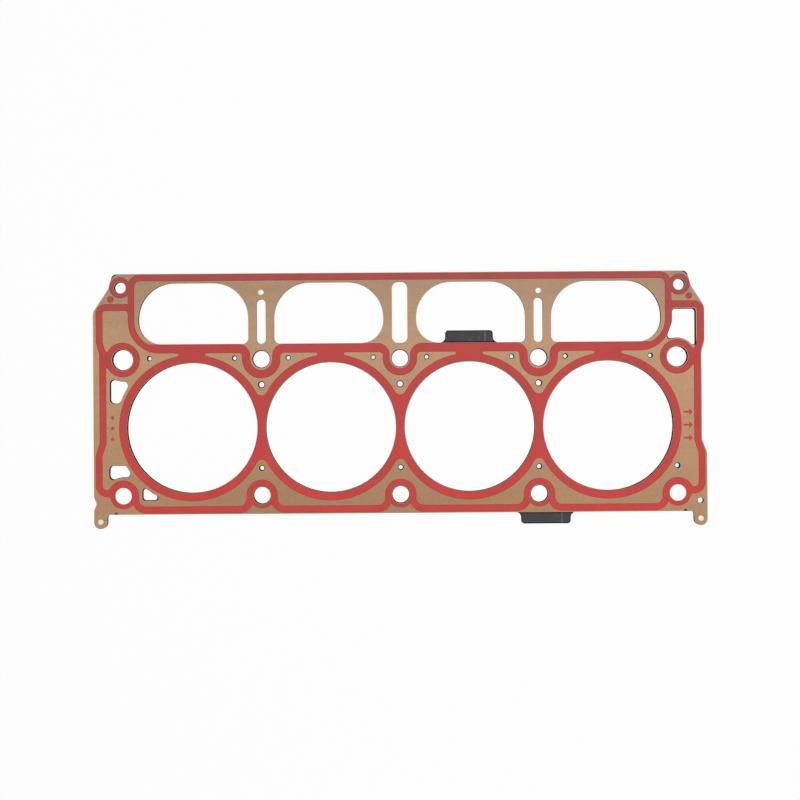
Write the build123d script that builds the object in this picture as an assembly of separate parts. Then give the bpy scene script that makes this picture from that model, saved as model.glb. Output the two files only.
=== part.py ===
from build123d import *
import os
from math import copysign, hypot, sqrt

# Cylinder head gasket for one bank of a V8, lying flat, in millimetres.
# +X runs along the cylinder row to the front, +Y to the pushrod side, +Z to the head.
# The origin is on the block face, in the web between the two middle bores.

# Thickness of each layer, from the block to the head
carrier_thickness = 1.15
head_sheet_thickness = 0.45
print_thickness = 0.1

# Cylinder bores, and the ring of print round each
bore_radius = 52.35
bore_web = 7.06
bore_lip = 0.3
bore_margin = 0.25
bore_band = 6.1
web_fillet = 4.7

# Head bolt holes: the carrier's radius, and the lip by which it shows inside the head sheet's hole
upper_bolt_gap = 2.8
lower_bolt_gap = 2.3
bolt_radius = 6.7
bolt_lip = 0.65
corner_bolt_radius = 8.1
corner_bolt_lip = 0.65
dowel_radius = 6.6
dowel_relief = 0.9

# Strip of print over the bores, with a collar that drops round each upper bolt
bridge_gap = 1.2
bridge_fillet = 1.2
strip_width = 7.2
collar_radius = 8.85
collar_band = 6.6
middle_collar_radius = 8.2
middle_collar_band = 5.6
collar_fillet = 2.8
collar_flare = 9.5

# Pushrod windows and the slots between them
port_margin = 0.15
port_height = 49.3
port_top_radius = 28.8
port_end_run = 2.3
port_corner_radius = 4.8
rib_half_width = 10.35
middle_rib_half_width = 13.3
port_end_inset = 12.9
slot_width = 7.4
slot_drop = 13.5
middle_slot_width = 12.4
middle_slot_radius = 5.0

# Print round the pushrod windows
loop_width = 5.2
top_band_gap = 1.65
loop_top_radius = 7.0
loop_low_radius = 22.9
loop_inset = 7.05

# Print along both ends, where it just overlaps the ring round each upper corner bolt
corner_ring_radius = 13.9
ring_overlap = 0.5
ring_fillet = 0.7
end_band_width = 5.4
end_run_inset = 26.85
end_upper_reach = 18.75
end_lower_reach = 19.45
end_corner_radius = 4.7
cell_corner_radius = 2.8
end_low_radius = 6.3
jog_radius = 9.0
upper_jog_start = 14.3
upper_jog_end = 4.9
lower_jog_start = 42.6
lower_jog_end = 32.6
end_run_drop = 2.15

# Print along the lower edge, with an arch over each lower bolt
foot_band_width = 5.5
foot_band_height = 3.65
arch_radius = 9.8
arch_fillet = 8.5
foot_ring_radius = 10.4
foot_fillet = 3.0
print_hole_margin = 0.45

# Small round holes in the two upper corners, and the dots of print beside them
corner_hole_radius = 4.4
corner_hole_lip = 0.35
corner_hole_ring = 3.7
corner_hole_reach = 1.85
corner_hole_drop = 11.0
dot_radius = 2.65
dot_reach = 9.6
dot_drop = 20.3

# Number of flat sides that a small hole is drawn with, and a larger one
passage_sides = 12
hole_sides = 16

# Coolant holes: the carrier's radius and the lip that shows
coolant_lip = 0.75
web_hole_radius = 2.2
web_hole_drop = 20.6
side_hole_radius = 1.5
side_hole_offset = 21.6
side_hole_rise = 1.0
lower_hole_radius = 1.75
lower_hole_rise = 21.95
front_hole_inset = 0.25
ear_hole_radius = 2.2
ear_hole_lip = 0.2
ear_hole_drop = 6.35

# Oil drain holes at the rear end, each clear of the bore's print and of a bolt
drain_lip = 0.35
drain_clearance = 2.4
drain_fillet = 3.3
upper_drain_reach = 10.5
upper_drain_inset = 4.2
upper_drain_drop = 35.3
upper_drain_relief = 17.0
lower_drain_reach = 11.4
lower_drain_inset = 5.5
lower_drain_rise = 24.75
lower_drain_relief = 14.8
side_drain_inset = 15.2
side_drain_drop = 3.8
side_drain_fillet = 2.2

# Window at the front end
window_lip = 0.5
window_inset = 4.2
window_reach = 15.3
window_margin = 0.6
window_shoulder_share = 0.35
window_flare_slope = 0.354
window_tip_rise = 9.15
window_relief = 14.8
window_corner_radius = 2.6
window_shoulder_radius = 8.0
window_tip_radius = 1.2

# Outer edge
top_margin = 0.65
head_corner_radius = 9.0
carrier_corner_radius = 4.0
shoulder_radius = 8.0
top_corner_reach = 8.2
shoulder_reach = 11.3
shoulder_drop = 12.0
rear_margin = 1.65
front_upper_margin = 0.55
front_middle_margin = 0.8
front_lower_margin = 1.55
front_jog_start = 12.0
front_jog_end = 4.2
rear_shoulder_drop = 30.7
front_shoulder_drop = 28.5
foot_margin = 14.95
notch_depth = 2.3
notch_drop = 6.25
notch_half_length = 5.3
notch_radius = 4.0
ear_width = 10.7
ear_length = 11.4
ear_radius = 5.2
ear_fillet = 2.5
bite_radius = 1.7
bite_reach = 5.9

# Carrier tabs that show past the head sheet
tab_corner_radius = 2.5
tab_flare = 4.5
tab_root = 4.0
port_tab_width = 38.4
port_tab_height = 9.8
foot_tab_width = 39.8
foot_tab_height = 9.3
foot_tab_offset = 5.3

# Rivets that hold the sheets together
rivet_head_radius = 2.4
rivet_head_height = 0.35
rivet_head_taper = 45
rivet_shank_radius = 1.4
rivet_tail_radius = 2.1
rivet_tail_depth = 0.6
rivet_tail_taper = 45
rivet_clearance = 0.05
rivet_drop = 15.35
ear_rivet_rise = 5.6

# Places that follow from these sizes
bore_pitch = 2 * bore_radius + bore_web
upper_bolt_y = bore_radius + upper_bolt_gap
lower_bolt_y = -bore_radius - lower_bolt_gap
bore_xs = [bore_pitch * step for step in (-1.5, -0.5, 0.5, 1.5)]
inner_bolt_xs = [bore_pitch * step for step in (-1, 0, 1)]
end_bolt_x = bore_pitch * 2
bolt_xs = [-end_bolt_x] + inner_bolt_xs + [end_bolt_x]
print_ring_inner = bore_radius + bore_lip + bore_margin
print_ring_outer = print_ring_inner + bore_band
strip_low = print_ring_outer + bridge_gap
strip_high = strip_low + strip_width
port_low = strip_high + port_margin
port_high = port_low + port_height
loop_x = end_bolt_x - loop_inset
sweep_y = strip_low + loop_width / 2 + loop_low_radius
top_band_y = port_high + top_band_gap + loop_width / 2
top_y = top_band_y + loop_width / 2 + top_margin
run_y = top_y - end_run_inset
foot_y = lower_bolt_y - foot_margin
foot_band_y = foot_y + foot_band_height
foot_rise = arch_radius + foot_band_width / 2
ear_y = foot_y - ear_length
end_edge = end_bolt_x + end_band_width / 2
end_middle_reach = corner_ring_radius - ring_overlap + end_band_width / 2
rear_x = -end_edge - end_lower_reach - rear_margin
front_x = end_edge + end_lower_reach + front_lower_margin
corner_bolts = [(-end_bolt_x, upper_bolt_y), (end_bolt_x, upper_bolt_y)]
dowels = [(-end_bolt_x, lower_bolt_y), (end_bolt_x, lower_bolt_y)]
corner_hole_x = end_bolt_x + corner_hole_reach
corner_hole_y = top_y - corner_hole_drop
corner_holes = [(-corner_hole_x, corner_hole_y), (corner_hole_x, corner_hole_y)]
ear_hole = (front_x - ear_width / 2, lower_bolt_y - ear_hole_drop)
stack_height = carrier_thickness + head_sheet_thickness
rivet_places = [
    (-bore_pitch, top_y - rivet_drop),
    (bore_pitch, top_y - rivet_drop),
    (rear_x + ear_width / 2, ear_y + ear_rivet_rise),
    (front_x - ear_width / 2, ear_y + ear_rivet_rise),
]


def rounded(corners):
    """Face with an arc at each (x, y, radius) corner."""
    points = [(x, y) for x, y, _ in corners]
    return make_face(FilletPolyline(*points, radius=[r for _, _, r in corners], close=True))


def side(path, shift):
    """Path of (x, y, radius) points moved to its left by shift, its arcs about the same centres."""
    moved = []
    last_run = len(path) - 2
    for i, (x, y, radius) in enumerate(path):
        normals = []
        for run in (max(i - 1, 0), min(i, last_run)):
            dx = path[run + 1][0] - path[run][0]
            dy = path[run + 1][1] - path[run][1]
            normals.append((-dy / hypot(dx, dy), dx / hypot(dx, dy)))
        (ax, ay), (bx, by) = normals
        grow = shift / (1 + ax * bx + ay * by)
        turn = copysign(1, ax * by - ay * bx)
        moved_radius = radius - turn * shift if radius else 0
        moved.append((x + (ax + bx) * grow, y + (ay + by) * grow, moved_radius))
    return moved


def band(path, width):
    """Strip of one width along a path of (x, y, radius) points."""
    return rounded(side(path, width / 2) + side(path, -width / 2)[::-1])


def both_ends(shape):
    """A shape and its mirror image across the middle of the row."""
    return shape + mirror(shape, Plane.YZ)


def discs(places, radius):
    """Round holes or pads of one radius."""
    return Sketch() + [Pos(x, y) * Circle(radius) for x, y in places]


def passages(places, radius, sides=passage_sides):
    """Small holes or pads of one radius, with flat sides."""
    return Sketch() + [Pos(x, y) * RegularPolygon(radius, sides) for x, y in places]


def box(x0, x1, y0, y1):
    """Rectangle between two corners."""
    return Pos((x0 + x1) / 2, (y0 + y1) / 2) * Rectangle(x1 - x0, y1 - y0)


def outline(corner_radius):
    """Outer edge without tabs: straight rear end, stepped front end, an ear at each foot."""
    notch_y = lower_bolt_y - notch_drop
    front_upper_x = end_edge + end_upper_reach + front_upper_margin
    front_middle_x = end_edge + end_middle_reach + front_middle_margin
    return rounded(
        [
            (-end_bolt_x - top_corner_reach, top_y, corner_radius),
            (-end_bolt_x - shoulder_reach, top_y - shoulder_drop, shoulder_radius),
            (rear_x, top_y - rear_shoulder_drop, shoulder_radius),
            (rear_x, notch_y + notch_half_length, notch_radius),
            (rear_x + notch_depth, notch_y, notch_radius),
            (rear_x, notch_y - notch_half_length, notch_radius),
            (rear_x, ear_y, ear_radius),
            (rear_x + ear_width, ear_y, ear_radius),
            (rear_x + ear_width, foot_y, ear_fillet),
            (front_x - ear_width, foot_y, ear_fillet),
            (front_x - ear_width, ear_y, ear_radius),
            (front_x, ear_y, ear_radius),
            (front_x, lower_bolt_y + lower_jog_end, jog_radius),
            (front_middle_x, lower_bolt_y + lower_jog_start, jog_radius),
            (front_middle_x, upper_bolt_y + front_jog_end, jog_radius),
            (front_upper_x, upper_bolt_y + front_jog_start, jog_radius),
            (front_upper_x, top_y - front_shoulder_drop, shoulder_radius),
            (end_bolt_x + shoulder_reach, top_y - shoulder_drop, shoulder_radius),
            (end_bolt_x + top_corner_reach, top_y, corner_radius),
        ]
    )


def port(rib_x, end_x):
    """Pushrod window with a square foot at its rib and a round sweep at its other end."""
    return rounded(
        [
            (rib_x, port_low, port_corner_radius),
            (rib_x, port_high, port_top_radius),
            (end_x, port_high, port_top_radius),
            (end_x, port_low, port_height - port_top_radius - port_end_run),
        ]
    )


def ports_and_slots():
    """Four pushrod windows, the slot in each rib between them and the wider slot in the middle rib."""
    inner = port(bore_pitch - rib_half_width, middle_rib_half_width)
    outer = port(bore_pitch + rib_half_width, end_bolt_x - port_end_inset)
    slot_length = port_height - slot_drop
    slot = Pos(bore_pitch, port_low + slot_length / 2) * SlotOverall(slot_length, slot_width, rotation=90)
    middle_slot = RectangleRounded(middle_slot_width, port_height, middle_slot_radius)
    return both_ends(inner + outer + slot) + Pos(0, port_low + port_height / 2) * middle_slot


def front_window(lip):
    """Window at the front end, hollowed at its foot round the corner bolt."""
    left = end_bolt_x - window_inset + lip
    right = end_bolt_x + window_reach - lip
    low = upper_bolt_y + window_tip_rise + lip
    high = run_y - end_band_width / 2 - window_margin - lip
    shoulder = high - window_shoulder_share * (high - low)
    opening = rounded(
        [
            (left, high, window_corner_radius),
            (right, high, window_corner_radius),
            (right, low, 0),
            (left - window_flare_slope * (shoulder - low), low, 0),
            (left, shoulder, window_shoulder_radius),
        ]
    )
    opening -= Pos(end_bolt_x, upper_bolt_y) * Circle(window_relief + lip)
    opening = fillet(opening.vertices().sort_by(Axis.Y)[:2], window_tip_radius)
    return fillet(opening.vertices().sort_by(Axis.X)[0], window_corner_radius)


def drain(area, lip, corner_radius):
    """Rear drain hole: an area cut back clear of the print round the first bore."""
    area -= Pos(bore_xs[0], 0) * Circle(print_ring_outer + drain_clearance + lip)
    return fillet(area.vertices(), corner_radius)


def drains(lip):
    """Three oil drain holes at the rear end, two of them hollowed round a corner bolt."""
    upper = box(
        -end_bolt_x - upper_drain_reach + lip,
        -end_bolt_x + upper_drain_inset - lip,
        upper_bolt_y - upper_drain_drop + lip,
        upper_bolt_y,
    )
    upper -= Pos(-end_bolt_x, upper_bolt_y) * Circle(upper_drain_relief + lip)
    lower = box(
        -end_bolt_x - lower_drain_reach + lip,
        -end_bolt_x + lower_drain_inset - lip,
        lower_bolt_y,
        lower_bolt_y + lower_drain_rise - lip,
    )
    lower -= Pos(-end_bolt_x, lower_bolt_y) * Circle(lower_drain_relief + lip)
    side_left = -end_bolt_x + side_drain_inset + lip
    side_area = box(side_left, bore_xs[0], lower_bolt_y - side_drain_drop + lip, 0)
    return (
        drain(upper, lip, drain_fillet)
        + drain(lower, lip, drain_fillet)
        + drain(side_area, lip, side_drain_fillet)
    )


def coolant_holes(lip):
    """Coolant holes in the webs, beside the upper bolts and over the lower bolts."""
    side_y = upper_bolt_y + side_hole_rise
    side_holes = [(x + side_hole_offset, side_y) for x in bolt_xs[:-1]]
    side_holes += [(x - side_hole_offset, side_y) for x in bolt_xs[1:]]
    lower_y = lower_bolt_y + lower_hole_rise
    lower_holes = [(x, lower_y) for x in inner_bolt_xs] + [(end_bolt_x - front_hole_inset, lower_y)]
    web_holes = [(x, upper_bolt_y - web_hole_drop) for x in inner_bolt_xs]
    return (
        passages(web_holes, web_hole_radius + lip)
        + passages(side_holes, side_hole_radius + lip)
        + passages(lower_holes, lower_hole_radius + lip)
    )


def head_sheet_openings():
    """Everything cut through the head sheet."""
    upper_bolts = [(x, upper_bolt_y) for x in inner_bolt_xs]
    lower_bolts = [(x, lower_bolt_y) for x in inner_bolt_xs]
    return (
        discs([(x, 0) for x in bore_xs], bore_radius + bore_lip)
        + passages(upper_bolts + lower_bolts, bolt_radius + bolt_lip, hole_sides)
        + passages(corner_bolts, corner_bolt_radius + corner_bolt_lip, hole_sides)
        + passages(corner_holes, corner_hole_radius + corner_hole_lip, hole_sides)
        + passages([ear_hole], ear_hole_radius + ear_hole_lip)
        + passages(rivet_places, rivet_shank_radius + rivet_clearance)
        + passages([(-end_bolt_x - bite_reach, foot_y), (end_bolt_x + bite_reach, foot_y)], bite_radius)
        + discs(dowels, dowel_radius)
        + coolant_holes(coolant_lip)
        + ports_and_slots()
        + front_window(0)
        + drains(0)
    )


def carrier_openings():
    """Everything cut through the carrier, mostly a lip smaller than in the head sheet."""
    return (
        discs([(x, 0) for x in bore_xs], bore_radius)
        + discs([(x, upper_bolt_y) for x in inner_bolt_xs], bolt_radius)
        + discs([(x, lower_bolt_y) for x in inner_bolt_xs], bolt_radius)
        + discs(corner_bolts, corner_bolt_radius)
        + discs(corner_holes, corner_hole_radius)
        + passages(dowels, dowel_radius + dowel_relief, hole_sides)
        + passages([ear_hole], ear_hole_radius)
        + coolant_holes(0)
        + ports_and_slots()
        + front_window(window_lip)
        + drains(drain_lip)
    )


def tab(width, height):
    """Tab that stands up from y = 0 on flared feet."""
    half = width / 2
    foot = half + 2 * tab_flare
    return rounded(
        [
            (-foot, -tab_root, 0),
            (-foot, 0, 0),
            (-half, 0, tab_flare),
            (-half, height, tab_corner_radius),
            (half, height, tab_corner_radius),
            (half, 0, tab_flare),
            (foot, 0, 0),
            (foot, -tab_root, 0),
        ]
    )


def carrier_sheet():
    """Coated carrier sheet on the block side, with its two tabs and the countersinks for the rivets."""
    face = outline(carrier_corner_radius) - carrier_openings()
    face += Pos(bore_pitch / 2, port_low) * tab(port_tab_width, port_tab_height)
    foot_tab = Rot(0, 0, 180) * tab(foot_tab_width, foot_tab_height)
    face += Pos(bore_pitch + foot_tab_offset, foot_y) * foot_tab
    sheet = extrude(face, carrier_thickness)
    for x, y in rivet_places:
        sheet -= Pos(x, y) * rivet_shank(rivet_clearance)
    return sheet


def head_sheet():
    """Spring steel sheet on the head side."""
    face = outline(head_corner_radius) - head_sheet_openings()
    return Pos(0, 0, carrier_thickness) * extrude(face, head_sheet_thickness)


def filling(radius, edge, rise, fillet_radius, depth):
    """Filling between a disc about the origin and a band from the line y = edge, to a tangent arc.

    The arc lies at +X, over the line where rise is 1 and under it where rise is -1. The filling
    runs into the band by depth.
    """
    y = edge + rise * fillet_radius
    x = sqrt((radius + fillet_radius) ** 2 - y**2)
    root = edge - rise * depth
    area = make_face(Polyline((0, 0), (x, y), (x, root), close=True))
    area += make_face(Polyline((0, 0), (x, root), (0, root), close=True))
    return area - Pos(x, y) * Circle(fillet_radius)


def bore_print():
    """Rings of print round the bores, with filleted webs between neighbours."""
    field = discs([(x, 0) for x in bore_xs], print_ring_outer)
    fillet_y = sqrt((print_ring_outer + web_fillet) ** 2 - (bore_pitch / 2) ** 2)
    for x in inner_bolt_xs:
        for y in (fillet_y, -fillet_y):
            web = make_face(Polyline((x - bore_pitch / 2, 0), (x + bore_pitch / 2, 0), (x, y), close=True))
            field += web - Pos(x, y) * Circle(web_fillet)
    return field


def strip_print():
    """Strip over the bores, bridged to each bore ring, with a collar round each inner upper bolt."""
    sweep_radius = loop_low_radius - loop_width / 2
    strip_end = loop_x - loop_low_radius + sqrt(sweep_radius**2 - (sweep_y - strip_high) ** 2)
    root = loop_x - loop_low_radius
    corners = [(-strip_end, strip_high), (strip_end, strip_high), (root, strip_low), (-root, strip_low)]
    field = make_face(Polyline(*corners, close=True))
    bridge = both_ends(filling(print_ring_outer, strip_low, -1, bridge_fillet, strip_width / 2))
    for x in bore_xs:
        field += Pos(x, 0) * bridge
    for x in inner_bolt_xs:
        pocket = collar_radius if x else middle_collar_radius
        width = collar_band if x else middle_collar_band
        field += Pos(x, 0) * collar(pocket + width, strip_low, collar_fillet)
        field -= Pos(x, 0) * collar(pocket, strip_high, collar_flare)
    return field


def collar(radius, rim_y, flare):
    """Round-bottomed pocket about an upper bolt, flared out to a rim."""
    wide = radius + 2 * flare
    sides = rounded(
        [
            (-wide, rim_y + flare, 0),
            (-wide, rim_y, 0),
            (-radius, rim_y, flare),
            (-radius, upper_bolt_y, 0),
            (radius, upper_bolt_y, 0),
            (radius, rim_y, flare),
            (wide, rim_y, 0),
            (wide, rim_y + flare, 0),
        ]
    )
    return sides + Pos(0, upper_bolt_y) * Circle(radius)


def loop_print():
    """Band that leaves the strip, sweeps up both ends of the pushrod windows and runs along the top."""
    low_y = strip_low + loop_width / 2
    root_x = loop_x - loop_low_radius - loop_width
    return band(
        [
            (-root_x, low_y, 0),
            (-loop_x, low_y, loop_low_radius),
            (-loop_x, top_band_y, loop_top_radius),
            (loop_x, top_band_y, loop_top_radius),
            (loop_x, low_y, loop_low_radius),
            (root_x, low_y, 0),
        ],
        loop_width,
    )


def end_print():
    """Band down each end from the loop to the lower corner bolt, jogging in beside the bore."""
    low_y = lower_bolt_y + end_run_drop
    upper_x = end_bolt_x + end_upper_reach
    middle_x = end_bolt_x + end_middle_reach
    lower_x = end_bolt_x + end_lower_reach
    run = band(
        [
            (loop_x, run_y, 0),
            (upper_x, run_y, end_corner_radius),
            (upper_x, upper_bolt_y + upper_jog_start, jog_radius),
            (middle_x, upper_bolt_y + upper_jog_end, jog_radius),
            (middle_x, lower_bolt_y + lower_jog_start, jog_radius),
            (lower_x, lower_bolt_y + lower_jog_end, jog_radius),
            (lower_x, low_y, end_low_radius),
            (end_bolt_x, low_y, 0),
        ],
        end_band_width,
    )
    half_width = end_band_width / 2
    ring_edge = corner_ring_radius - ring_overlap
    half_bridge = filling(corner_ring_radius, ring_edge, -1, ring_fillet, half_width)
    bridge = Rot(0, 0, -90) * both_ends(half_bridge)
    ring = Pos(end_bolt_x, upper_bolt_y) * (Circle(corner_ring_radius) + bridge)
    hole_ring_radius = corner_hole_radius + corner_hole_lip + corner_hole_ring
    hole_ring = Pos(corner_hole_x, corner_hole_y) * Circle(hole_ring_radius)
    foot = filling(foot_rise, end_run_drop + half_width, 1, foot_fillet, half_width)
    foot += filling(foot_ring_radius, end_run_drop - half_width, -1, foot_fillet, half_width)
    return both_ends(run + ring + hole_ring + Pos(end_bolt_x, lower_bolt_y) * foot)


def foot_print():
    """Band along the lower edge that rises over each lower bolt in an arch."""
    places = [(x, lower_bolt_y) for x in bolt_xs]
    reach = end_bolt_x + foot_rise
    arches = discs(places, foot_rise) & box(-reach, reach, lower_bolt_y, lower_bolt_y + foot_rise)
    field = arches + discs(places, foot_ring_radius)
    for left, right in zip(bolt_xs, bolt_xs[1:]):
        run = [
            (left + arch_radius, lower_bolt_y, 0),
            (left + arch_radius, foot_band_y, arch_fillet),
            (right - arch_radius, foot_band_y, arch_fillet),
            (right - arch_radius, lower_bolt_y, 0),
        ]
        field += band(run, foot_band_width)
    return field


def print_holes():
    """Round holes in the print, each a margin wider than the hole in the sheet under it."""
    foot_radius = bolt_radius + bolt_lip + print_hole_margin
    return (
        discs([(x, 0) for x in bore_xs], print_ring_inner)
        + passages([(x, lower_bolt_y) for x in inner_bolt_xs], foot_radius, hole_sides)
        + passages(corner_bolts, corner_bolt_radius + corner_bolt_lip + print_hole_margin, hole_sides)
        + passages(corner_holes, corner_hole_radius + corner_hole_lip + print_hole_margin, hole_sides)
        + passages(dowels, dowel_radius + print_hole_margin, hole_sides)
    )


def sealing_print():
    """All the joined-up print on the head sheet, with its inside corners rounded."""
    field = bore_print() + strip_print() + loop_print() + end_print() + foot_print()
    cell_y = run_y - end_band_width / 2
    cell_radius = min(cell_corner_radius, (cell_y - sweep_y) / 2)
    for x in (-loop_x - loop_width / 2, loop_x + loop_width / 2):
        field = fillet(field.vertices().sort_by_distance((x, cell_y))[0], cell_radius)
    field -= print_holes() + front_window(0)
    return Pos(0, 0, stack_height) * extrude(field, print_thickness)


def print_dots():
    """Dot of print in each upper corner, apart from the rest."""
    dot_x = end_bolt_x + dot_reach
    dot_y = top_y - dot_drop
    dots = passages([(-dot_x, dot_y), (dot_x, dot_y)], dot_radius, hole_sides)
    return Pos(0, 0, stack_height) * extrude(dots, print_thickness)


def rivet_shank(clearance):
    """Rivet without its head: a shank up to the head sheet's top, its tail spread into a countersink."""
    shank = extrude(RegularPolygon(rivet_shank_radius + clearance, passage_sides), stack_height)
    tail = RegularPolygon(rivet_tail_radius + clearance, passage_sides)
    return shank + extrude(tail, rivet_tail_depth, taper=rivet_tail_taper)


def rivets():
    """Rivets, each with a low head on the head sheet and its tail set flush into the carrier."""
    head_rim = RegularPolygon(rivet_head_radius, passage_sides)
    head = extrude(head_rim, rivet_head_height, taper=rivet_head_taper)
    rivet = rivet_shank(0) + Pos(0, 0, stack_height) * head
    return Compound([Pos(x, y) * rivet for x, y in rivet_places])


os.makedirs("parts", exist_ok=True)
export_step(carrier_sheet(), "parts/carrier_sheet.step")
export_step(head_sheet(), "parts/head_sheet.step")
export_step(sealing_print(), "parts/sealing_print.step")
export_step(print_dots(), "parts/print_dots.step")
export_step(rivets(), "parts/rivets.step")
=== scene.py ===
from math import cos, pi, radians, sin

import bmesh
import bpy
from bpy.props import FloatProperty, FloatVectorProperty, IntProperty, PointerProperty
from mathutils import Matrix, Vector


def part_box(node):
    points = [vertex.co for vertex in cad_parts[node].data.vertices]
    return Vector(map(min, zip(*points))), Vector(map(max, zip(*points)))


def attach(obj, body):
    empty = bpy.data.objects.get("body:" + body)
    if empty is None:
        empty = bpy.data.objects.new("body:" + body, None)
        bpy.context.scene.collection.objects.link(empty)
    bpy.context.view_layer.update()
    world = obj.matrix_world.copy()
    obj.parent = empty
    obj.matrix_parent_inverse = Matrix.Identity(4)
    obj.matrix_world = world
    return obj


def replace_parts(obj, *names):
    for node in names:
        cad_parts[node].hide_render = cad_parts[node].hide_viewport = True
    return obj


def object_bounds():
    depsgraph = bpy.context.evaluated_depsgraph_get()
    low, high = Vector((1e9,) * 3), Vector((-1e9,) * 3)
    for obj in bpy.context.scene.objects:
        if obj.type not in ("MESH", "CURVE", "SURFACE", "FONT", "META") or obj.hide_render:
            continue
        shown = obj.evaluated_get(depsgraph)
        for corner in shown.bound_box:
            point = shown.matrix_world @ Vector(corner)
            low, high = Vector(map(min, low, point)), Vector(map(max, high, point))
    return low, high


bl_info = {
    "name": "Cylinder Head Gasket",
    "version": (1, 0, 0),
    "blender": (4, 5, 0),
    "location": "View3D > Sidebar > Gasket",
    "description": "Finishes a layered head gasket: coated sheets, sealing print, rivets and a plain stage",
    "category": "Object",
}

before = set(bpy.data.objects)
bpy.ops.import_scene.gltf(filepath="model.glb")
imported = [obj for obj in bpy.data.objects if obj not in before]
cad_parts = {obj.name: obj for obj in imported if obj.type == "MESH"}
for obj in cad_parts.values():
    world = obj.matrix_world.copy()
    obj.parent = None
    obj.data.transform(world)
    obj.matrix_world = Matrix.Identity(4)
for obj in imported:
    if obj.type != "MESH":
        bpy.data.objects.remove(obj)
CAD_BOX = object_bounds()
MM = 0.001
TOUCHING = 0.01 * MM  # heights nearer than this are one level
WELD = 0.002 * MM  # corners nearer than this are one corner
LEVEL = 0.9  # a face is level where its normal rises by more than this
UPRIGHT = 0.5  # a face is a wall where its normal rises or falls by less than this
CREASE = radians(40)  # sharper edges stay sharp
DOME_STEP = 10  # degrees between the rings of a rivet's dome
NOISE_ROUGHNESS = 0.6  # weight of the finer layers of a noise
NOISE_MIDDLE = 0.5  # middle of a noise's values
MIX_SHARE, MIX_FIRST, MIX_SECOND, MIX_RESULT = 0, 6, 7, 2  # a Mix node's sockets for colours
STEPS = (-1, 0, 1)  # the three marks at an end, in pitches from the middle one
WHITE = (1, 1, 1, 1)


def screen(red, green, blue):
    """Linear colour of an 8-bit screen colour."""
    return tuple(((channel / 255 + 0.055) / 1.055) ** 2.4 for channel in (red, green, blue))


def colour(name, description, default):
    """Colour property."""
    return FloatVectorProperty(
        name=name, description=description, default=default, subtype="COLOR", size=3, min=0, max=1
    )


def length(name, description, default):
    """Length property in metres."""
    return FloatProperty(name=name, description=description, default=default, unit="LENGTH", precision=5)


def angle(name, description, default):
    """Angle property in radians."""
    return FloatProperty(name=name, description=description, default=default, subtype="ANGLE")


def number(name, description, default):
    """Property of a share, a strength or a shader's value."""
    return FloatProperty(name=name, description=description, default=default, precision=3)


class GasketTan(bpy.types.PropertyGroup):
    """Satin tan coating of the head sheet."""

    # low, middle and top are painted light and shade: darker brown along the foot, brighter over the bores,
    # greyer along the top
    low: colour("Low tone", "Coating along the foot", screen(162, 123, 93))
    middle: colour("Middle tone", "Coating over the bores", screen(179, 143, 111))
    top: colour("Top tone", "Coating along the top", screen(164, 134, 107))
    # painted sheen: a warmer, brighter tone towards the ends of the row
    warm_sheen: colour("Warm tone", "Coating at the ends of the row", screen(196, 154, 117))
    # rim is a painted highlight on the sheet's punched upper edge
    rim: colour("Rim", "Thin bright upper edge", screen(214, 190, 170))
    # wall is the dark steel of the punched walls, darkened further as painted shade
    wall: colour("Wall", "Punched walls", screen(30, 25, 22))
    rim_share: number("Rim share", "Share of the rim's colour on the edge", 0.5)
    sheen_share: number("Warm share", "Greatest share of the warm tone", 0.5)
    sheen_start: length("Warm start", "Distance from the middle of the row where the warmth starts", 68.2 * MM)
    sheen_run: length("Warm run", "Distance along the row over which the warmth grows", 227.3 * MM)
    sheen_top: length("Warm top", "Place across the row where the warmth ends", 133.3 * MM)
    sheen_fade: length("Warm fade", "Distance across the row over which the warmth fades", 83.3 * MM)
    cloud_size: length("Cloud size", "Size of the clouds in the warmth", 110 * MM)
    cloud_depth: number("Cloud depth", "Strength of the clouds", 1.1)
    roll_size: length("Rolling line", "Width of the faint rolling lines", 5 * MM)
    roll_stretch: number("Rolling stretch", "Length of a rolling line in widths", 25)
    roll_turn: angle("Rolling turn", "Turn of the rolling lines from the row", radians(4))
    roll_depth: number("Rolling depth", "Strength of the rolling lines", 0.18)
    mottle_size: length("Mottle size", "Size of the mottle", 2.4 * MM)
    mottle_depth: number("Mottle depth", "Strength of the mottle", 0.34)
    grain_size: length("Grain size", "Size of the grain", 0.38 * MM)
    grain_depth: number("Grain depth", "Strength of the grain", 0.2)
    roughness: number("Roughness", "Roughness of the coating", 0.5)
    roughness_mottle: number("Roughness mottle", "Change of the roughness with the mottle", 0.18)
    metallic: number("Metallic", "Share of bare steel in the coating", 0.15)
    specular: number("Specular", "Specular level of the coating", 0.2)
    bump_height: length("Bump height", "Height of the grain", 0.02 * MM)
    bump_strength: number("Bump strength", "Strength of the grain's bump", 0.35)


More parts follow.
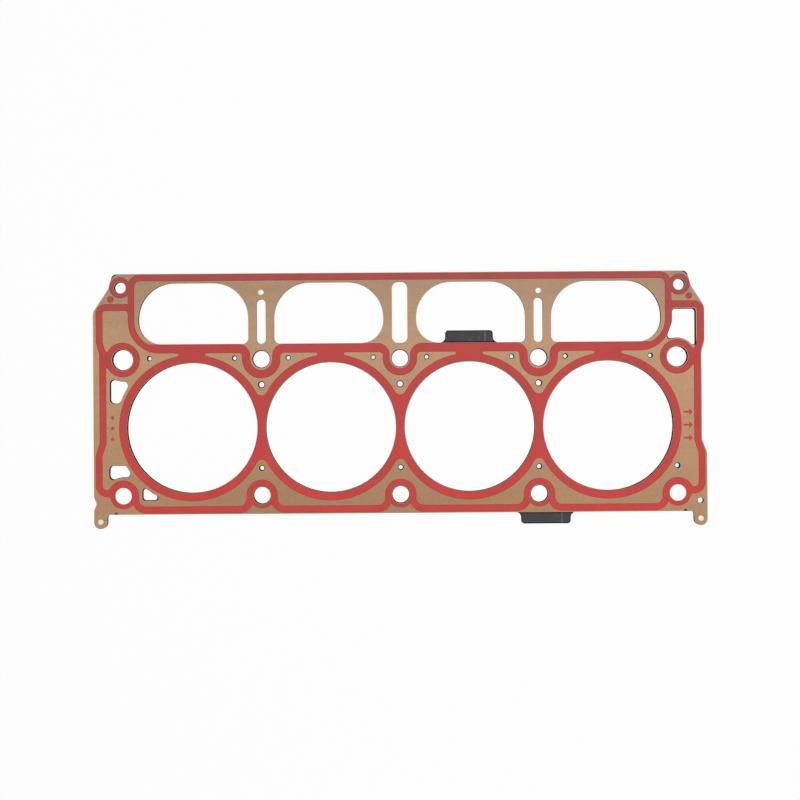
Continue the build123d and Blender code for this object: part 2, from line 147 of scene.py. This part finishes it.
class GasketRed(bpy.types.PropertyGroup):
    """Matte red rubber of the sealing print and the printed marks."""

    # low, middle and top are painted light and shade: the print brightest along the foot and duller towards
    # the top
    low: colour("Low tone", "Print along the foot", screen(202, 66, 62))
    middle: colour("Middle tone", "Print over the bores", screen(189, 69, 66))
    top: colour("Top tone", "Print along the top", screen(175, 74, 72))
    # edge is painted shade: a dark line on the print's rounded shoulder
    edge: colour("Edge", "Thin shoulder along the edge of the print", screen(94, 43, 38))
    edge_share: number("Edge share", "Share of the edge's colour on the edge", 0.9)
    edge_power: number("Edge power", "Power by which the edge's colour falls over the shoulder", 0.8)
    cloud_size: length("Cloud size", "Size of the clouds", 22 * MM)
    cloud_depth: number("Cloud depth", "Strength of the clouds", 0.3)
    grain_size: length("Grain size", "Size of the grain", 0.67 * MM)
    grain_depth: number("Grain depth", "Strength of the grain", 0.32)
    roughness: number("Roughness", "Roughness of the rubber", 0.6)
    roughness_grain: number("Roughness grain", "Change of the roughness with the grain", 0.2)
    specular: number("Specular", "Specular level of the rubber", 0.2)
    bump_height: length("Bump height", "Height of the grain", 0.03 * MM)
    bump_strength: number("Bump strength", "Strength of the grain's bump", 0.4)


class GasketBlack(bpy.types.PropertyGroup):
    """Matte black coating of the carrier."""

    plain: colour("Plain", "Coating that isn't rubbed", screen(72, 70, 72))
    worn: colour("Worn", "Coating where it is rubbed", screen(118, 114, 116))
    # edge is painted shade on the carrier's rounded edges and walls, and the painted shadow on each tab along
    # the head sheet
    edge: colour("Edge", "Edges, walls and seams", screen(8, 8, 8))
    edge_power: number("Edge power", "Power by which the edge's colour falls over the shoulder", 0.35)
    speck_size: length("Speck size", "Size of the specks", 0.53 * MM)
    speck_depth: number("Speck depth", "Strength of the specks", 0.6)
    rub_size: length("Rub size", "Size of the rubbed patches", 5 * MM)
    rub_depth: number("Rub depth", "Strength of the rubbed patches", 0.9)
    scratch_size: length("Scratch size", "Width of the scratches", 2.0 * MM)
    scratch_stretch: number("Scratch stretch", "Length of a scratch in widths", 28)
    scratch_turn: angle("Scratch turn", "Turn of the scratches from across the row", radians(8))
    scuff_turn: angle("Scuff turn", "Turn of the second set of scratches", radians(62))
    scratch_floor: number("Scratch floor", "Noise below which there is no scratch", 0.13)
    scratch_gain: number("Scratch gain", "Sharpness of the scratches", 8.5)
    scratch_depth: number("Scratch depth", "Strength of the scratches", 0.25)
    line_width: length("Line width", "Half width of the rubbed line over each tab", 0.9 * MM)
    line_depth: number("Line depth", "Strength of the rubbed lines", 0.7)
    port_line: length("Window tab line", "Place along the row of the window tab's rubbed line", 68.8 * MM)
    foot_line: length("Foot tab line", "Place along the row of the foot tab's rubbed line", 130 * MM)
    # painted shadow: a dark band on each tab where the head sheet's edge shades the carrier
    shadow_width: length("Seam width", "Half width of the dark seam on a tab", 1.6 * MM)
    port_shadow: length("Window tab seam", "Place across the row of the window tab's seam", 67.55 * MM)
    foot_shadow: length("Foot tab seam", "Place across the row of the foot tab's seam", -69.6 * MM)
    roughness: number("Roughness", "Roughness of the coating", 0.55)
    roughness_rub: number("Roughness rub", "Change of the roughness with the rubbed patches", 0.2)
    roughness_wear: number("Roughness wear", "Loss of roughness where the coating is worn", 0.1)
    specular: number("Specular", "Specular level of the coating", 0.05)
    bump_height: length("Bump height", "Height of the specks", 0.02 * MM)
    bump_strength: number("Bump strength", "Strength of the specks' bump", 0.3)


class GasketSteel(bpy.types.PropertyGroup):
    """Bright steel of the rivets, with a painted highlight on top of each dome and painted shade at its foot.
    """

    # bright is a painted highlight on the top of each dome; foot is painted shade towards its foot
    bright: colour("Bright", "Top of a rivet's dome", screen(228, 225, 208))
    foot: colour("Foot", "Duller foot of a rivet's dome", screen(160, 142, 110))
    foot_gain: number("Foot gain", "Sharpness of the change towards the foot", 8)
    grain_size: length("Grain size", "Size of the grain", 0.42 * MM)
    grain_depth: number("Grain depth", "Strength of the grain", 0.14)
    streak_size: length("Streak size", "Width of the fine streaks", 1.1 * MM)
    streak_stretch: number("Streak stretch", "Length of a streak in widths", 5)
    streak_depth: number("Streak depth", "Strength of the streaks", 0.16)
    roughness: number("Roughness", "Roughness of the steel", 0.4)
    roughness_streak: number("Roughness streak", "Change of the roughness with the streaks", 0.2)
    metallic: number("Metallic", "Metallic share of the finish", 0.35)
    bump_height: length("Bump height", "Height of the grain", 0.02 * MM)
    bump_strength: number("Bump strength", "Strength of the grain's bump", 0.25)


class GasketSizes(bpy.types.PropertyGroup):
    """Sizes of the rounded edges, rivets and marks, and places of the painted light and shade tones."""

    carrier_shoulder: length("Carrier shoulder", "Width of the carrier's rounded upper edge", 1.0 * MM)
    sheet_shoulder: length("Sheet shoulder", "Width of the head sheet's rounded upper edge", 0.3 * MM)
    sheet_drop: length("Sheet drop", "Fall of a sheet's upper edge", 0.07 * MM)
    print_shoulder: length("Print shoulder", "Width of the rounded edge of the print", 0.45 * MM)
    print_drop: length("Print drop", "Fall of the print's edge", 0.06 * MM)
    mark_height: length("Mark height", "Height of a printed mark over the head sheet", 0.04 * MM)
    mark_reach: length("Mark reach", "Distance of the printed marks from the middle of the row", 232 * MM)
    arrow_length: length("Arrow length", "Length of an arrow that points to the front end", 7.4 * MM)
    arrow_width: length("Arrow width", "Width of an arrow's head", 5.6 * MM)
    arrow_shaft: length("Arrow shaft", "Width of an arrow's shaft", 1.5 * MM)
    arrow_pitch: length("Arrow pitch", "Distance between the arrows", 10.5 * MM)
    index_radius: length("Index dot radius", "Radius of each dot of the index mark", 1.4 * MM)
    index_pitch: length("Index dot pitch", "Distance between the dots of the index mark", 8.6 * MM)
    rivet_tail: length("Rivet tail", "Radius of a rivet's countersunk tail", 2.1 * MM)
    rivet_tail_depth: length("Rivet tail depth", "Depth of a rivet's countersunk tail", 0.6 * MM)
    rivet_tail_round: length("Rivet tail round", "Rounding of a rivet's tail", 0.1 * MM)
    rivet_shank: length("Rivet shank", "Radius of a rivet's shank", 1.4 * MM)
    round_sides: IntProperty(name="Round sides", description="Sides of a rivet or dot", default=40, min=8)
    # places across the row of the painted light and shade tones
    low_lighting_place: length("Low tone", "Place across the row of the low tones", -60 * MM)
    middle_lighting_place: length("Middle tone", "Place across the row of the middle tones", 68 * MM)
    top_lighting_place: length("Top tone", "Place across the row of the top tones", 119 * MM)


class GasketStage(bpy.types.PropertyGroup):
    """Floor, light and camera."""

    camera_height: length("Camera height", "Height of the camera over the print", 420 * MM)
    view_width: length("View width", "Width of the picture at the height of the print", 644.6 * MM)
    view_centre: FloatVectorProperty(
        name="View centre",
        description="Point under the camera",
        default=(-0.15 * MM, 21.45 * MM),
        size=2,
        unit="LENGTH",
    )
    roll: angle("Roll", "Turn of the camera", radians(-0.3825))
    sensor: number("Sensor", "Width of the camera's sensor in millimetres", 36)
    floor: colour("Floor", "Pale floor", (0.96, 0.96, 0.96))
    floor_size: length("Floor size", "Side of the square floor", 8.0)
    floor_gap: length("Floor gap", "Gap between the floor and the part", 0.1 * MM)
    floor_white: number("Floor white", "Share of plain white in the floor as the camera sees it", 0.88)
    lamp_size: length("Lamp size", "Side of the square lamp", 2.0)
    lamp_place: FloatVectorProperty(
        name="Lamp place",
        description="Place of the lamp, which faces the part",
        default=(0.35, 0.2, 2.25),
        unit="LENGTH",
    )
    lamp_power: number("Lamp power", "Power of the lamp in watts", 22.5)
    sky: number("Sky", "Strength of the even light from all round", 0.6)


class Value:
    """Socket of a finish. Python's operators on it add Math nodes."""

    def __init__(self, finish, socket):
        self.finish = finish
        self.socket = socket

    def maths(self, operation, *terms, clamp=False):
        """Result of a Math node."""
        settings = {"operation": operation, "use_clamp": clamp}
        return self.finish.node("ShaderNodeMath", settings, dict(enumerate(terms)))

    def __add__(self, other):
        return self.maths("ADD", self, other)

    def __radd__(self, other):
        return self.maths("ADD", other, self)

    def __sub__(self, other):
        return self.maths("SUBTRACT", self, other)

    def __rsub__(self, other):
        return self.maths("SUBTRACT", other, self)

    def __mul__(self, other):
        return self.maths("MULTIPLY", self, other)

    def __rmul__(self, other):
        return self.maths("MULTIPLY", other, self)

    def __truediv__(self, other):
        return self.maths("DIVIDE", self, other)

    def __rtruediv__(self, other):
        return self.maths("DIVIDE", other, self)

    def __pow__(self, other):
        return self.maths("POWER", self, other)

    def __rpow__(self, other):
        return self.maths("POWER", other, self)

    def __abs__(self):
        return self.maths("ABSOLUTE", self)

    def clamped(self):
        """Value kept from 0 to 1."""
        return self.maths("ADD", self, 0, clamp=True)


class Finish:
    """Node tree under construction."""

    def __init__(self, tree):
        self.tree = tree
        tree.nodes.clear()

    def node(self, kind, settings=None, sockets=None, output=0):
        """Adds one node: its settings first, then the values or links of its sockets."""
        node = self.tree.nodes.new(kind)
        for name, setting in (settings or {}).items():
            if name == "stops":
                self.set_stops(node.color_ramp.elements, setting)
            else:
                setattr(node, name, setting)
        for name, value in (sockets or {}).items():
            if isinstance(value, Value):
                self.tree.links.new(value.socket, node.inputs[name])
            else:
                node.inputs[name].default_value = value
        return Value(self, node.outputs[output]) if node.outputs else None

    def set_stops(self, elements, stops):
        """Gives a ramp its (position, colour) stops."""
        while len(elements) < len(stops):
            elements.new(1)
        for element, (position, stop) in zip(elements, stops):
            element.position = position
            element.color = (*stop, 1)

    def place(self):
        """Place on the piece in metres."""
        return self.node("ShaderNodeTexCoord", output="Object")

    def axis(self, name):
        """Place along one axis in metres."""
        return self.node("ShaderNodeSeparateXYZ", None, {"Vector": self.place()}, name)

    def upward(self):
        """1 on a level face, falling to 0 on an upright one."""
        normal = self.node("ShaderNodeTexCoord", output="Normal")
        return self.node("ShaderNodeSeparateXYZ", None, {"Vector": normal}, "Z")

    def across(self, tones, sizes):
        """Colour by the place across the row, from the low, middle and top tones of a finish: painted light
        and shade in bands across the row.
        """
        low, high = sizes.low_lighting_place, sizes.top_lighting_place
        middle = (sizes.middle_lighting_place - low) / (high - low)
        stops = [(0, tones.low), (middle, tones.middle), (1, tones.top)]
        share = (self.axis("Y") - low) / (high - low)
        return self.node("ShaderNodeValToRGB", {"stops": stops}, {"Fac": share})

    def mark(self, name):
        """Value of a sheet's rim or wall mark."""
        return self.node("ShaderNodeAttribute", {"attribute_name": name}, None, "Fac")

    def line(self, place, centre, width):
        """1 along a line, falling to 0 at a width to each side of it."""
        return (1 - abs(place - centre) / width).clamped()

    def noise(self, size, detail=2, turn=0, stretch=(1, 1, 1)):
        """Noise about 0, from -0.5 to 0.5, with features of one size in metres, turned and drawn out."""
        sockets = {"Vector": self.place(), "Rotation": (0, 0, turn), "Scale": stretch}
        drawn = self.node("ShaderNodeMapping", {"vector_type": "TEXTURE"}, sockets)
        sockets = {"Vector": drawn, "Scale": 1 / size, "Detail": detail, "Roughness": NOISE_ROUGHNESS}
        return self.node("ShaderNodeTexNoise", {"noise_dimensions": "3D"}, sockets) - NOISE_MIDDLE

    def mix(self, share, first, second, blend_type="MIX"):
        """Colour between two colours."""
        first, second = (c if isinstance(c, Value) else (*c, 1) for c in (first, second))
        settings = {"data_type": "RGBA", "blend_type": blend_type, "clamp_factor": True}
        sockets = {MIX_SHARE: share, MIX_FIRST: first, MIX_SECOND: second}
        return self.node("ShaderNodeMix", settings, sockets, MIX_RESULT)

    def shaded(self, tint, strength):
        """Colour made lighter or darker by a strength about 1."""
        return self.mix(1.0, tint, strength, "MULTIPLY")

    def bump(self, height, group):
        """Normal bumped by a height."""
        sockets = {"Height": height, "Distance": group.bump_height, "Strength": group.bump_strength}
        return self.node("ShaderNodeBump", None, sockets)

    def surface(self, sockets):
        """Principled shader as the finish's surface."""
        shader = self.node("ShaderNodeBsdfPrincipled", None, sockets)
        self.node("ShaderNodeOutputMaterial", None, {"Surface": shader})


def new_finish(name):
    """New material, and the finish that fills its node tree."""
    material = bpy.data.materials.new(name)
    material.use_nodes = True
    return material, Finish(material.node_tree)


def tan_coating(scene):
    """Satin tan coating on spring steel, clouded, mottled and faintly rolled, with painted light and shade
    across the row, a painted sheen that makes the ends warmer, a painted highlight on the upper edge and
    painted shade on the walls.
    """
    coat = scene.gasket_tan
    material, f = new_finish("tan_coating")
    # painted light and shade: tones that change across the row
    tan = f.across(coat, scene.gasket_sizes)
    # painted sheen: a warmer, brighter tone growing towards both ends of the row, clouded and fading towards
    # the top
    cloud = f.noise(coat.cloud_size, detail=3)
    along = (abs(f.axis("X")) - coat.sheen_start) / coat.sheen_run
    below_top = ((coat.sheen_top - f.axis("Y")) / coat.sheen_fade).clamped()
    painted_sheen = (along + cloud * coat.cloud_depth).clamped() * below_top
    tan = f.mix(painted_sheen * coat.sheen_share, tan, coat.warm_sheen)
    rolled = f.noise(coat.roll_size, turn=coat.roll_turn, stretch=(coat.roll_stretch, 1, 1))
    mottle = f.noise(coat.mottle_size, detail=3)
    grain = f.noise(coat.grain_size)
    marks = rolled * coat.roll_depth + mottle * coat.mottle_depth + grain * coat.grain_depth
    tan = f.shaded(tan, 1 + marks)
    # painted highlight: pale colour on the sheet's rounded upper edge
    tan = f.mix(f.mark("rim") * coat.rim_share, tan, coat.rim)
    f.surface(
        {
            # painted shade: the walls take the dark wall colour
            "Base Color": f.mix(f.mark("wall"), tan, coat.wall),
            "Roughness": coat.roughness + mottle * coat.roughness_mottle,
            "Metallic": coat.metallic,
            "Specular IOR Level": coat.specular,
            "Normal": f.bump(grain, coat),
        }
    )
    return material


def red_rubber(scene):
    """Matte red silicone, with painted shade that makes it duller along the top edge and a dark line of
    painted shade along its shoulder.
    """
    rubber = scene.gasket_red
    material, f = new_finish("red_rubber")
    # painted light and shade: the print brighter along the foot, duller along the top
    red = f.across(rubber, scene.gasket_sizes)
    cloud = f.noise(rubber.cloud_size, detail=3)
    grain = f.noise(rubber.grain_size, detail=3)
    red = f.shaded(red, 1 + cloud * rubber.cloud_depth + grain * rubber.grain_depth)
    # painted shade: the edge colour darkens the print's shoulder
    edge = f.mark("rim") ** rubber.edge_power * rubber.edge_share
    f.surface(
        {
            "Base Color": f.mix(edge, red, rubber.edge),
            "Roughness": rubber.roughness + grain * rubber.roughness_grain,
            "Specular IOR Level": rubber.specular,
            "Normal": f.bump(grain, rubber),
        }
    )
    return material


def black_coating(scene):
    """Matte black coating, rubbed and scratched, with a painted shadow on each tab along the head sheet and
    painted shade on its edges and walls.
    """
    coat = scene.gasket_black
    material, f = new_finish("black_coating")
    x, y = f.axis("X"), f.axis("Y")
    speck = f.noise(coat.speck_size, detail=3)
    rub = f.noise(coat.rub_size, detail=4)
    lines = f.line(x, coat.port_line, coat.line_width) + f.line(x, coat.foot_line, coat.line_width)
    scratches = scratched(f, coat, coat.scratch_turn) + scratched(f, coat, coat.scuff_turn)
    wear = lines * coat.line_depth + scratches * coat.scratch_depth + rub * coat.rub_depth
    wear = wear.clamped()
    black = f.shaded(f.mix(wear, coat.plain, coat.worn), 1 + speck * coat.speck_depth)
    # painted shadow: dark bands on the tabs along the head sheet's edge
    under_sheet_shadow = f.line(y, coat.port_shadow, coat.shadow_width) + f.line(y, coat.foot_shadow, coat.shadow_width)
    # painted shade: the edge colour falls over the carrier's rounded rim and walls
    edge = (f.mark("rim") ** coat.edge_power + under_sheet_shadow).clamped()
    f.surface(
        {
            "Base Color": f.mix(edge, black, coat.edge),
            "Roughness": coat.roughness + rub * coat.roughness_rub - wear * coat.roughness_wear,
            "Specular IOR Level": coat.specular,
            "Normal": f.bump(speck, coat),
        }
    )
    return material


def scratched(f, coat, turn):
    """1 on the scratches in one direction."""
    noise = f.noise(coat.scratch_size, turn=turn, stretch=(1, coat.scratch_stretch, 1))
    return ((noise - coat.scratch_floor) * coat.scratch_gain).clamped()


def bright_steel(scene):
    """Bright rivet steel with fine streaks, a painted highlight on the top of the dome and painted shade at
    its foot.
    """
    steel = scene.gasket_steel
    material, f = new_finish("bright_steel")
    grain = f.noise(steel.grain_size, detail=3)
    streak = f.noise(steel.streak_size, stretch=(1, steel.streak_stretch, 1))
    # painted highlight and shade: the dome's colour goes from bright on top to dull at its foot by slope
    foot = ((1 - f.upward()) * steel.foot_gain).clamped()
    painted_light_steel = f.mix(foot, steel.bright, steel.foot)
    f.surface(
        {
            "Base Color": f.shaded(painted_light_steel, 1 + grain * steel.grain_depth + streak * steel.streak_depth),
            "Roughness": steel.roughness + streak * steel.roughness_streak,
            "Metallic": steel.metallic,
            "Normal": f.bump(grain, steel),
        }
    )
    return material


def add_piece(name, mesh, material):
    """Object of the part, riding on its one body."""
    piece = bpy.data.objects.new(name, mesh)
    bpy.context.scene.collection.objects.link(piece)
    mesh.materials.clear()
    mesh.materials.append(material)
    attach(piece, "root")
    return piece


def is_wall(face):
    """Whether a face stands upright."""
    return abs(face.normal.z) < UPRIGHT


def shouldered(node, width, drop):
    """Mesh of a flat node whose upper edge falls by drop over width, with its rim and walls marked."""
    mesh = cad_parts[node].data.copy()
    sheet = bmesh.new()
    sheet.from_mesh(mesh)
    bmesh.ops.remove_doubles(sheet, verts=sheet.verts, dist=WELD)
    top = max(point.co.z for point in sheet.verts) - TOUCHING
    upper = [face for face in sheet.faces if face.normal.z > LEVEL and face.verts[0].co.z > top]
    bmesh.ops.inset_region(sheet, faces=upper, thickness=width, use_even_offset=True, use_boundary=True)
    sheet.normal_update()
    rim = sheet.verts.layers.float.new("rim")
    wall = sheet.loops.layers.float.new("wall")
    for point in sheet.verts:
        if any(is_wall(face) for face in point.link_faces):
            point[rim] = 1
            if point.co.z > top:
                point.co.z -= drop
    for face in sheet.faces:
        face.smooth = is_wall(face)
        for corner in face.loops:
            corner[wall] = float(face.smooth)
    sheet.to_mesh(mesh)
    sheet.free()
    return mesh


def plate(name, outlines, low, high):
    """Mesh of flat plates, one over each outline of (x, y) points."""
    shape = bmesh.new()
    for points in outlines:
        face = shape.faces.new([shape.verts.new((x, y, low)) for x, y in points])
        raised = bmesh.ops.extrude_face_region(shape, geom=[face])["geom"]
        for point in raised:
            if isinstance(point, bmesh.types.BMVert):
                point.co.z = high
    bmesh.ops.recalc_face_normals(shape, faces=shape.faces)
    mesh = bpy.data.meshes.new(name)
    shape.to_mesh(mesh)
    shape.free()
    return mesh


def turned(name, places, profile, sides):
    """Mesh of like pieces turned from a profile of (radius, z) points, one over each place."""
    shape = bmesh.new()
    angles = [2 * pi * step / sides for step in range(sides)]
    for x, y in places:
        rings = []
        for radius, z in profile:
            if radius == 0:
                rings.append([shape.verts.new((x, y, z))] * sides)
            else:
                rings.append([shape.verts.new((x + radius * cos(a), y + radius * sin(a), z)) for a in angles])
        for lower, upper in zip(rings, rings[1:]):
            for i in range(sides):
                corners = [lower[i - 1], lower[i], upper[i], upper[i - 1]]
                shape.faces.new(list(dict.fromkeys(corners)))
    bmesh.ops.recalc_face_normals(shape, faces=shape.faces)
    for face in shape.faces:
        face.smooth = True
    mesh = bpy.data.meshes.new(name)
    shape.to_mesh(mesh)
    shape.free()
    mesh.set_sharp_from_angle(angle=CREASE)
    return mesh


class GASKET_OT_carrier(bpy.types.Operator):
    """Black carrier with a softly rounded upper edge"""

    bl_idname = "gasket.carrier"
    bl_label = "Carrier"

    def execute(self, context):
        sizes = context.scene.gasket_sizes
        mesh = shouldered("carrier_sheet", sizes.carrier_shoulder, sizes.sheet_drop)
        piece = add_piece("black_carrier", mesh, black_coating(context.scene))
        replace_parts(piece, "carrier_sheet")
        return {"FINISHED"}


class GASKET_OT_head_sheet(bpy.types.Operator):
    """Tan head sheet with a softly rounded upper edge"""

    bl_idname = "gasket.head_sheet"
    bl_label = "Head sheet"

    def execute(self, context):
        sizes = context.scene.gasket_sizes
        mesh = shouldered("head_sheet", sizes.sheet_shoulder, sizes.sheet_drop)
        piece = add_piece("tan_head_sheet", mesh, tan_coating(context.scene))
        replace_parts(piece, "head_sheet")
        return {"FINISHED"}


class GASKET_OT_print(bpy.types.Operator):
    """Red sealing print and its two dots, with softly rounded edges"""

    bl_idname = "gasket.sealing_print"
    bl_label = "Sealing print"

    def execute(self, context):
        sizes = context.scene.gasket_sizes
        rubber = red_rubber(context.scene)
        for node in ("sealing_print", "print_dots"):
            mesh = shouldered(node, sizes.print_shoulder, sizes.print_drop)
            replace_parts(add_piece("red_" + node, mesh, rubber), node)
        return {"FINISHED"}


class GASKET_OT_marks(bpy.types.Operator):
    """Arrows and index dots at the ends, in the rubber of the sealing print"""

    bl_idname = "gasket.printed_marks"
    bl_label = "Printed marks"

    def execute(self, context):
        sizes = context.scene.gasket_sizes
        rubber = bpy.data.materials["red_rubber"]
        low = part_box("head_sheet")[1].z
        high = low + sizes.mark_height
        arrows = [self.arrow(sizes, sizes.arrow_pitch * step) for step in STEPS]
        add_piece("front_arrows", plate("front_arrows", arrows, low, high), rubber)
        places = [(-sizes.mark_reach, sizes.index_pitch * step) for step in STEPS]
        profile = [(0, low), (sizes.index_radius, low), (sizes.index_radius, high), (0, high)]
        dots = turned("index_dots", places, profile, sizes.round_sides)
        add_piece("index_dots", dots, rubber)
        return {"FINISHED"}

    def arrow(self, sizes, y):
        """Outline of an arrow that points to the front end."""
        tail = sizes.mark_reach - sizes.arrow_length / 2
        tip = sizes.mark_reach + sizes.arrow_length / 2
        half = sizes.arrow_width / 2
        neck = tip - half
        shaft = sizes.arrow_shaft / 2
        lower = [(tail, y - shaft), (neck, y - shaft), (neck, y - half)]
        upper = [(neck, y + half), (neck, y + shaft), (tail, y + shaft)]
        return lower + [(tip, y)] + upper


class GASKET_OT_rivets(bpy.types.Operator):
    """Four turned rivets with low domed heads"""

    bl_idname = "gasket.rivets"
    bl_label = "Rivets"

    def execute(self, context):
        sizes = context.scene.gasket_sizes
        boxes = self.boxes([point.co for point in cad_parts["rivets"].data.vertices])
        places = [((x0 + x1) / 2, (y0 + y1) / 2) for x0, x1, y0, y1 in boxes]
        head = min(x1 - x0 for x0, x1, _, _ in boxes) / 2
        low, high = (corner.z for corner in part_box("rivets"))
        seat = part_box("head_sheet")[1].z
        tail = [
            (0, low),
            (sizes.rivet_tail - sizes.rivet_tail_round, low),
            (sizes.rivet_tail, low + sizes.rivet_tail_round / 2),
            (sizes.rivet_shank, low + sizes.rivet_tail_depth),
            (sizes.rivet_shank, seat),
        ]
        rises = [radians(degrees) for degrees in range(0, 90, DOME_STEP)]
        dome = [(head * cos(rise), seat + (high - seat) * sin(rise)) for rise in rises]
        mesh = turned("turned_rivets", places, tail + dome + [(0, high)], sizes.round_sides)
        piece = add_piece("turned_rivets", mesh, bright_steel(context.scene))
        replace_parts(piece, "rivets")
        return {"FINISHED"}

    def boxes(self, points):
        """Least and greatest x and y of the rivet in each corner of the gasket."""
        found = []
        for front in (False, True):
            for upper in (False, True):
                group = [p for p in points if (p.x > 0) == front and (p.y > 0) == upper]
                if not group:
                    raise RuntimeError("a corner of the gasket has no rivet")
                xs = [p.x for p in group]
                ys = [p.y for p in group]
                found.append((min(xs), max(xs), min(ys), max(ys)))
        return found


class GASKET_OT_stage(bpy.types.Operator):
    """Pale floor, even light, one soft lamp and a camera straight above"""

    bl_idname = "gasket.stage"
    bl_label = "Stage"

    def execute(self, context):
        scene = context.scene
        scene.view_settings.view_transform = "Standard"
        self.add_floor(scene, scene.gasket_stage)
        self.add_light(scene, scene.gasket_stage)
        self.add_camera(scene, scene.gasket_stage)
        return {"FINISHED"}

    def add_floor(self, scene, stage):
        """Floor just under the part, nearly white to the camera."""
        half = stage.floor_size / 2
        level = CAD_BOX[0].z - stage.floor_gap
        mesh = bpy.data.meshes.new("floor")
        corners = [(-half, -half, level), (half, -half, level), (half, half, level), (-half, half, level)]
        mesh.from_pydata(corners, [], [(0, 1, 2, 3)])
        material, f = new_finish("pale_floor")
        lit = f.node("ShaderNodeBsdfDiffuse", None, {"Color": (*stage.floor, 1)})
        white = f.node("ShaderNodeEmission", None, {"Color": WHITE, "Strength": 1})
        share = self.seen(f) * stage.floor_white
        mixed = f.node("ShaderNodeMixShader", None, {0: share, 1: lit, 2: white})
        f.node("ShaderNodeOutputMaterial", None, {"Surface": mixed})
        mesh.materials.append(material)
        floor = bpy.data.objects.new("floor", mesh)
        scene.collection.objects.link(floor)

    def seen(self, f):
        """1 where a ray comes straight from the camera, off a glossy face or through a clear one."""
        camera = f.node("ShaderNodeLightPath", None, None, "Is Camera Ray")
        glossy = f.node("ShaderNodeLightPath", None, None, "Is Glossy Ray")
        through = f.node("ShaderNodeLightPath", None, None, "Is Transmission Ray")
        return (camera + glossy + through).clamped()

    def add_light(self, scene, stage):
        """Even light from all round, and a lamp above."""
        world = bpy.data.worlds.new("studio")
        world.use_nodes = True
        f = Finish(world.node_tree)
        even = f.node("ShaderNodeBackground", None, {"Color": WHITE, "Strength": stage.sky})
        white = f.node("ShaderNodeBackground", None, {"Color": WHITE, "Strength": 1})
        mixed = f.node("ShaderNodeMixShader", None, {0: self.seen(f), 1: even, 2: white})
        f.node("ShaderNodeOutputWorld", None, {"Surface": mixed})
        scene.world = world
        lamp = bpy.data.lights.new("softbox", "AREA")
        lamp.size = stage.lamp_size
        lamp.energy = stage.lamp_power
        softbox = bpy.data.objects.new("softbox", lamp)
        softbox.location = stage.lamp_place
        softbox.rotation_euler = (-softbox.location).to_track_quat("-Z", "Y").to_euler()
        scene.collection.objects.link(softbox)

    def add_camera(self, scene, stage):
        """Camera that looks straight down."""
        data = bpy.data.cameras.new("camera")
        data.sensor_width = stage.sensor
        data.lens = stage.sensor * stage.camera_height / stage.view_width
        camera = bpy.data.objects.new("camera", data)
        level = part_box("sealing_print")[1].z
        camera.location = (*stage.view_centre, level + stage.camera_height)
        camera.rotation_euler = (0, 0, stage.roll)
        scene.collection.objects.link(camera)
        scene.camera = camera


class GASKET_PT_panel(bpy.types.Panel):
    """Lists the pieces of the gasket and their settings"""

    bl_idname = "GASKET_PT_panel"
    bl_label = "Head gasket"
    bl_space_type = "VIEW_3D"
    bl_region_type = "UI"
    bl_category = "Gasket"

    def draw(self, context):
        for operator in OPERATORS:
            self.layout.operator(operator.bl_idname)
        for group, kind in GROUPS.items():
            settings = getattr(context.scene, group)
            box = self.layout.box()
            for name in kind.__annotations__:
                box.prop(settings, name)


OPERATORS = (
    GASKET_OT_carrier,
    GASKET_OT_head_sheet,
    GASKET_OT_print,
    GASKET_OT_marks,
    GASKET_OT_rivets,
    GASKET_OT_stage,
)
GROUPS = {
    "gasket_tan": GasketTan,
    "gasket_red": GasketRed,
    "gasket_black": GasketBlack,
    "gasket_steel": GasketSteel,
    "gasket_sizes": GasketSizes,
    "gasket_stage": GasketStage,
}
CLASSES = (*GROUPS.values(), *OPERATORS, GASKET_PT_panel)


def register():
    for kind in CLASSES:
        bpy.utils.register_class(kind)
    for group, kind in GROUPS.items():
        setattr(bpy.types.Scene, group, PointerProperty(type=kind))


def unregister():
    for group in GROUPS:
        delattr(bpy.types.Scene, group)
    for kind in reversed(CLASSES):
        bpy.utils.unregister_class(kind)


def main():
    register()
    bpy.ops.gasket.carrier()
    bpy.ops.gasket.head_sheet()
    bpy.ops.gasket.sealing_print()
    bpy.ops.gasket.printed_marks()
    bpy.ops.gasket.rivets()
    bpy.ops.gasket.stage()


if __name__ == "__main__":
    main()
